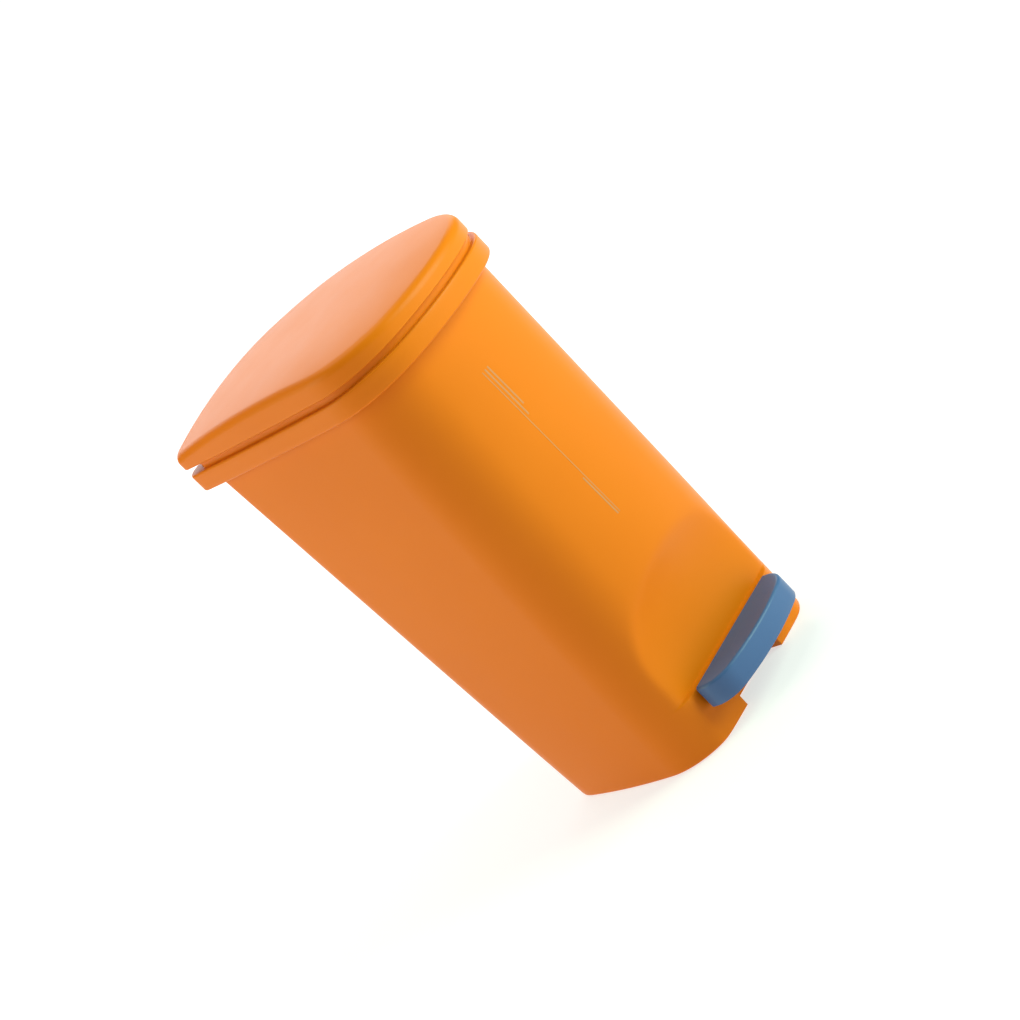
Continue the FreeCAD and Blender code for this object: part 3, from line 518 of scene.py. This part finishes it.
# ---- bucket and bag ring ------------------------------------------------------------
def make_bucket():
    rim_z = BUCKET_RIM_Z
    floor = BUCKET_FLOOR
    wall = BUCKET_WALL
    counts = BUCKET_COUNTS

    def section_at(z, amount):
        return inset(blend(BUCKET_BASE, BUCKET_TOP, (z - floor) / (rim_z - floor)), amount)

    rings = []
    r = BUCKET_ROUND
    for step in range(7):
        a = math.pi / 2 * step / 6
        z = floor + r * (1 - math.cos(a))
        rings.append(ring(section_at(z, r * (1 - math.sin(a))), z, counts))
    for z in np.linspace(floor + r + 6, rim_z - 5.5, 26):
        rings.append(ring(section_at(z, 0.0), z, counts))
    rings.append(ring(inset(BUCKET_TOP, -1.4), rim_z - 2.6, counts))
    rings.append(ring(inset(BUCKET_TOP, -1.6), rim_z - 4.8, counts))
    rings.append(ring(inset(BUCKET_TOP, -2.7), rim_z - 5.0, counts))
    rings.append(ring(inset(BUCKET_TOP, -3.0), rim_z - 4.4, counts))
    rings.append(ring(inset(BUCKET_TOP, -3.0), rim_z - 0.9, counts))
    rings.append(ring(inset(BUCKET_TOP, -2.1), rim_z, counts))
    rings.append(ring(inset(BUCKET_TOP, 0.8), rim_z, counts))
    rings.append(ring(inset(BUCKET_TOP, wall), rim_z - 1.0, counts))
    for z in np.linspace(rim_z - 8.0, floor + r + 6, 24):
        rings.append(ring(section_at(z, wall), z, counts))
    inner_r = BUCKET_INNER_ROUND
    for step in range(6, -1, -1):
        a = math.pi / 2 * step / 6
        z = floor + wall + inner_r * (1 - math.cos(a))
        rings.append(ring(section_at(z, wall + inner_r * (1 - math.sin(a))), z, counts))
    ears = []
    for s in (1, -1):
        x0 = BUCKET_TOP["half"] - wall if s > 0 else -BUCKET_TOP["half"]
        ears.append(("UNION", box_mesh("ear", x0, x0 + wall, BAIL_Y - EAR_R, BAIL_Y + EAR_R,
                                       rim_z - 1, BAIL_Z)))
        ears.append(("UNION", bar_mesh("ear_top", x0, x0 + wall, BAIL_Y, BAIL_Z, EAR_R)))
        ears.append(("DIFFERENCE", bar_mesh("ear_hole", x0 - 1, x0 + 3, BAIL_Y, BAIL_Z,
                                            EAR_HOLE_R)))
    mesh = combine(rings_mesh("bucket_skin", rings), ears)
    return make_piece("bucket_skin", mesh, "bin", ["inner_bucket"])


def make_bag_ring():
    counts = BUCKET_COUNTS
    ring_low, ring_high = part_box("bag_ring")
    low, top = ring_low.z / MM, ring_high.z / MM
    out = inset(RIM, 7.2)
    out.update(rear=78.5, r_rear=9.0)
    throat = inset(BUCKET_TOP, 5.2)
    throat.update(rear=68.0)
    rings = [
        ring(out, top - 2.0, counts), ring(out, top - 0.8, counts),
        ring(inset(out, 0.25), top - 0.25, counts), ring(inset(out, 0.8), top, counts),
        ring(inset(throat, -0.6), top, counts),
    ]
    lip_r = 1.6
    for step in range(5):
        a = math.pi / 2 * step / 4
        shrink = 1.8 - lip_r * (1 - math.sin(a))
        rings.append(ring(inset(throat, shrink), top - lip_r * (1 - math.cos(a)), counts))
    rings.append(ring(inset(throat, 1.8), low + 0.4, counts))
    rings.append(ring(inset(throat, 1.4), low, counts))
    rings.append(ring(inset(throat, 0.4), low, counts))
    rings.append(ring(throat, low + 0.4, counts))
    rings.append(ring(throat, top - 2.0, counts))
    mesh = rings_mesh("bag_ring_skin", rings, loop=True)
    return make_piece("bag_ring_skin", mesh, "bin", ["bag_ring"])


# ---- printed mark on the front wall -------------------------------------------------
def front_wall_y(x, z):
    """y of the outer front wall at (x, z), in millimetres."""
    section = body_section(z)
    nose_y = section["front"] + section["r_nose"]
    return nose_y - math.sqrt(section["r_nose"] ** 2 - x * x)


def print_strip(bm, offset, width, z0, z1, rows):
    """A thin strip at an offset in x from the mark's leaning line."""
    front, back = [], []
    for k in range(rows + 1):
        z = z0 + (z1 - z0) * k / rows
        axis = PRINT_LOW_X + (PRINT_HIGH_X - PRINT_LOW_X) * (z - PRINT_LOW_Z) / PRINT_HEIGHT
        for x in (axis + offset, axis + offset + width):
            y = front_wall_y(x, z)
            front.append(bm.verts.new(Vector((x, y - PRINT_LIFT, z)) * MM))
            back.append(bm.verts.new(Vector((x, y + PRINT_DEPTH, z)) * MM))
    for k in range(rows):
        a, b, c, d = 2 * k, 2 * k + 1, 2 * k + 3, 2 * k + 2
        bm.faces.new((front[a], front[b], front[c], front[d]))
        bm.faces.new((back[d], back[c], back[b], back[a]))
        bm.faces.new((front[d], back[d], back[a], front[a]))
        bm.faces.new((front[b], back[b], back[c], front[c]))
    end = 2 * rows
    bm.faces.new((front[1], front[0], back[0], back[1]))
    bm.faces.new((front[end], front[end + 1], back[end + 1], back[end]))


def make_print():
    """A thin leaning line with short plain bars beside its two ends."""
    bm = bmesh.new()
    print_strip(bm, 0.0, 0.7, PRINT_LOW_Z, PRINT_LOW_Z + PRINT_HEIGHT, 40)
    high = PRINT_LOW_Z + PRINT_HEIGHT
    for offset, z0, z1 in ((2.6, high - 41, high), (5.6, high - 34, high),
                           (-2.4, PRINT_LOW_Z, PRINT_LOW_Z + 34)):
        print_strip(bm, offset, 1.3, z0, z1, 12)
    bmesh.ops.recalc_face_normals(bm, faces=bm.faces)
    mesh = bpy.data.meshes.new("front_print")
    bm.to_mesh(mesh)
    bm.free()
    return make_piece("front_print", mesh, "bin")


# ---- materials ----------------------------------------------------------------------
GRAIN_SIZE = 0.0006            # metres
GRAIN_DEPTH = 0.0004           # metres
FLOOR_GLOW_NEAR = 0.64
FLOOR_GLOW_FAR = 1.0


def plastic(name, colour, dark, light, rough=0.34, grain=0.02, edge_highlight=0.12,
            metal=0.0, specular=0.5):
    """Moulded plastic or metal: drifting colour, fine grain, and a painted highlight in a lighter
    colour on convex edges.
    """
    material = bpy.data.materials.new(name)
    material.use_nodes = True
    tree = material.node_tree
    tree.nodes.clear()
    new, link = tree.nodes.new, tree.links.new
    output = new("ShaderNodeOutputMaterial")
    shader = new("ShaderNodeBsdfPrincipled")
    link(shader.outputs["BSDF"], output.inputs["Surface"])
    where = new("ShaderNodeTexCoord")

    drift = new("ShaderNodeTexNoise")
    drift.inputs["Scale"].default_value = 9.0
    drift.inputs["Detail"].default_value = 3.0
    link(where.outputs["Object"], drift.inputs["Vector"])
    tint = new("ShaderNodeValToRGB")
    tint.color_ramp.elements[0].position = 0.3
    tint.color_ramp.elements[0].color = (*dark, 1)
    tint.color_ramp.elements[1].position = 0.7
    tint.color_ramp.elements[1].color = (*colour, 1)
    link(drift.outputs["Fac"], tint.inputs["Fac"])

    # painted highlight: convex edges, found by pointiness, are mixed towards the lighter colour
    geometry = new("ShaderNodeNewGeometry")
    edge = new("ShaderNodeValToRGB")
    edge.color_ramp.elements[0].position = 0.52
    edge.color_ramp.elements[0].color = (0, 0, 0, 1)
    edge.color_ramp.elements[1].position = 0.60
    edge.color_ramp.elements[1].color = (edge_highlight, edge_highlight, edge_highlight, 1)
    link(geometry.outputs["Pointiness"], edge.inputs["Fac"])
    mix = new("ShaderNodeMix")
    mix.data_type = "RGBA"
    link(edge.outputs["Color"], mix.inputs["Factor"])
    link(tint.outputs["Color"], mix.inputs["A"])
    mix.inputs["B"].default_value = (*light, 1)
    link(mix.outputs["Result"], shader.inputs["Base Color"])

    smudge = new("ShaderNodeTexNoise")
    smudge.inputs["Scale"].default_value = 38.0
    smudge.inputs["Detail"].default_value = 5.0
    link(where.outputs["Object"], smudge.inputs["Vector"])
    gloss = new("ShaderNodeMapRange")
    gloss.inputs["To Min"].default_value = rough - 0.04
    gloss.inputs["To Max"].default_value = rough + 0.05
    link(smudge.outputs["Fac"], gloss.inputs["Value"])
    link(gloss.outputs["Result"], shader.inputs["Roughness"])

    fine = new("ShaderNodeTexNoise")
    fine.inputs["Scale"].default_value = 1.0 / GRAIN_SIZE
    fine.inputs["Detail"].default_value = 2.0
    link(where.outputs["Object"], fine.inputs["Vector"])
    bump = new("ShaderNodeBump")
    bump.inputs["Strength"].default_value = grain
    bump.inputs["Distance"].default_value = GRAIN_DEPTH
    link(fine.outputs["Fac"], bump.inputs["Height"])
    link(bump.outputs["Normal"], shader.inputs["Normal"])

    shader.inputs["Metallic"].default_value = metal
    shader.inputs["Specular IOR Level"].default_value = specular
    return material


materials = {
    "orange_plastic": plastic("orange_polypropylene", (0.72, 0.172, 0.004), (0.70, 0.163, 0.003),
                              (0.90, 0.36, 0.06), rough=0.36, grain=0.05, specular=0.12),
    "orange_inner_plastic": plastic("orange_inner", (0.66, 0.21, 0.03), (0.60, 0.18, 0.025),
                                    (0.80, 0.33, 0.08), rough=0.5, grain=0.12),
    "blue_plastic": plastic("blue_polypropylene", (0.054, 0.124, 0.290), (0.047, 0.109, 0.263),
                            (0.16, 0.28, 0.42), rough=0.38, grain=0.08, specular=0.35),
    "grey_plastic": plastic("grey_polypropylene", (0.095, 0.10, 0.11), (0.08, 0.085, 0.092),
                            (0.2, 0.2, 0.21), rough=0.42, grain=0.1),
    "black_plastic": plastic("black_nylon", (0.012, 0.012, 0.013), (0.009, 0.009, 0.010),
                             (0.06, 0.06, 0.06), rough=0.48, grain=0.14),
    "steel": plastic("zinc_plated_steel", (0.62, 0.61, 0.59), (0.52, 0.51, 0.50),
                     (0.75, 0.75, 0.74), rough=0.28, grain=0.1, metal=1.0),
    "rubber": plastic("soft_rubber", (0.02, 0.02, 0.02), (0.014, 0.014, 0.014),
                      (0.05, 0.05, 0.05), rough=0.7, grain=0.25),
}
print_ink = plastic("printed_ink", (0.55, 0.20, 0.04), (0.51, 0.18, 0.04), (0.60, 0.24, 0.06),
                    rough=0.5, grain=0.05, edge_highlight=0.05)


def dress(piece, material):
    """Give a piece one material in place of any others."""
    piece.data.materials.clear()
    piece.data.materials.append(material)


for subpart in frame["record"]["subparts"]:
    dress(nodes[subpart["node"]], materials[subpart["material_slot"]])

for piece in (make_shell(), make_collar(), make_lid()):
    dress(piece, materials["orange_plastic"])
dress(make_tread(), materials["blue_plastic"])
dress(make_bucket(), materials["grey_plastic"])
dress(make_bag_ring(), materials["grey_plastic"])
dress(make_print(), print_ink)


# ---- floor, light and camera --------------------------------------------------------
FLOOR_RADIUS = 60.0            # metres
WORLD_STRENGTH = 0.14
CAMERA_AZIMUTH = 34.78         # degrees
CAMERA_ELEVATION = 16.11
CAMERA_ROLL = 44.78
CAMERA_DISTANCE = 1.766        # metres
CAMERA_LENS = 92.77
AIM_Z = 0.1883                 # metres


def glowing_floor():
    """White studio floor whose own light grows with distance from the bin."""
    material = plastic("floor_white", (0.46, 0.46, 0.46), (0.45, 0.45, 0.45),
                       (0.47, 0.47, 0.47), rough=0.9, grain=0.0, edge_highlight=0.0, specular=0.0)
    tree = material.node_tree
    shader = next(node for node in tree.nodes if node.type == "BSDF_PRINCIPLED")
    where = next(node for node in tree.nodes if node.type == "TEX_COORD")
    distance = tree.nodes.new("ShaderNodeVectorMath")
    distance.operation = "LENGTH"
    tree.links.new(where.outputs["Object"], distance.inputs[0])
    glow = tree.nodes.new("ShaderNodeMapRange")
    glow.interpolation_type = "SMOOTHSTEP"
    glow.inputs["From Min"].default_value = 0.25
    glow.inputs["From Max"].default_value = 2.6
    glow.inputs["To Min"].default_value = FLOOR_GLOW_NEAR
    glow.inputs["To Max"].default_value = FLOOR_GLOW_FAR
    tree.links.new(distance.outputs["Value"], glow.inputs["Value"])
    shader.inputs["Emission Color"].default_value = (1, 1, 1, 1)
    tree.links.new(glow.outputs["Result"], shader.inputs["Emission Strength"])
    return material


def make_floor():
    bm = bmesh.new()
    bmesh.ops.create_circle(bm, cap_ends=True, segments=96, radius=FLOOR_RADIUS)
    mesh = bpy.data.meshes.new("studio_floor")
    bm.to_mesh(mesh)
    bm.free()
    floor = bpy.data.objects.new("studio_floor", mesh)
    floor.location.z = cad_low.z
    scene.collection.objects.link(floor)
    dress(floor, glowing_floor())


def area_light(name, direction, distance, size, power, colour=(1, 1, 1)):
    """A soft box that faces the middle of the bin."""
    data = bpy.data.lights.new(name, "AREA")
    data.shape = "RECTANGLE"
    data.size, data.size_y = size
    data.energy = power
    data.color = colour
    light = bpy.data.objects.new(name, data)
    target = (cad_low + cad_high) / 2
    way = Vector(direction).normalized()
    light.location = target + way * distance
    light.rotation_euler = (-way).to_track_quat("-Z", "Y").to_euler()
    scene.collection.objects.link(light)


def make_world():
    """A weak even white light from all round."""
    world = bpy.data.worlds.new("studio_world")
    scene.world = world
    world.use_nodes = True
    background = world.node_tree.nodes["Background"]
    background.inputs["Color"].default_value = (1.0, 1.0, 1.0, 1)
    background.inputs["Strength"].default_value = WORLD_STRENGTH


def make_camera():
    """A long lens on the front left, rolled so that the bin leans to the left."""
    azimuth, elevation = math.radians(CAMERA_AZIMUTH), math.radians(CAMERA_ELEVATION)
    roll = math.radians(CAMERA_ROLL)
    aim = Vector((0, SHIFT_Y * MM, AIM_Z))
    data = bpy.data.cameras.new("photo_camera")
    data.sensor_width = 36.0
    data.lens = CAMERA_LENS
    data.shift_x = 0.0154
    data.shift_y = 0.0049
    camera = bpy.data.objects.new("photo_camera", data)
    back = Vector((-math.sin(azimuth) * math.cos(elevation),
                   -math.cos(azimuth) * math.cos(elevation), math.sin(elevation)))
    level = Vector((math.cos(azimuth), -math.sin(azimuth), 0))
    upright = back.cross(level)
    right = level * math.cos(roll) - upright * math.sin(roll)
    up = level * math.sin(roll) + upright * math.cos(roll)
    turn = Matrix((right, up, back)).transposed().to_4x4()
    camera.matrix_world = Matrix.Translation(aim + back * CAMERA_DISTANCE) @ turn
    scene.collection.objects.link(camera)
    scene.camera = camera


make_floor()
make_world()
area_light("key", (0.55, -0.85, 0.42), 1.6, (0.9, 1.1), 25.0, (0.93, 1.30, 1.00))
area_light("left_fill", (-0.85, 0.55, 0.35), 1.7, (0.8, 1.3), 13.0, (1.04, 1.10, 0.70))
area_light("back_panel", (0.57, 0.82, 0.42), 2.0, (2.2, 1.1), 15.0)
area_light("top", (0.1, 0.2, 1.0), 1.6, (1.2, 1.2), 13.0)
make_camera()
scene.view_settings.view_transform = "Standard"
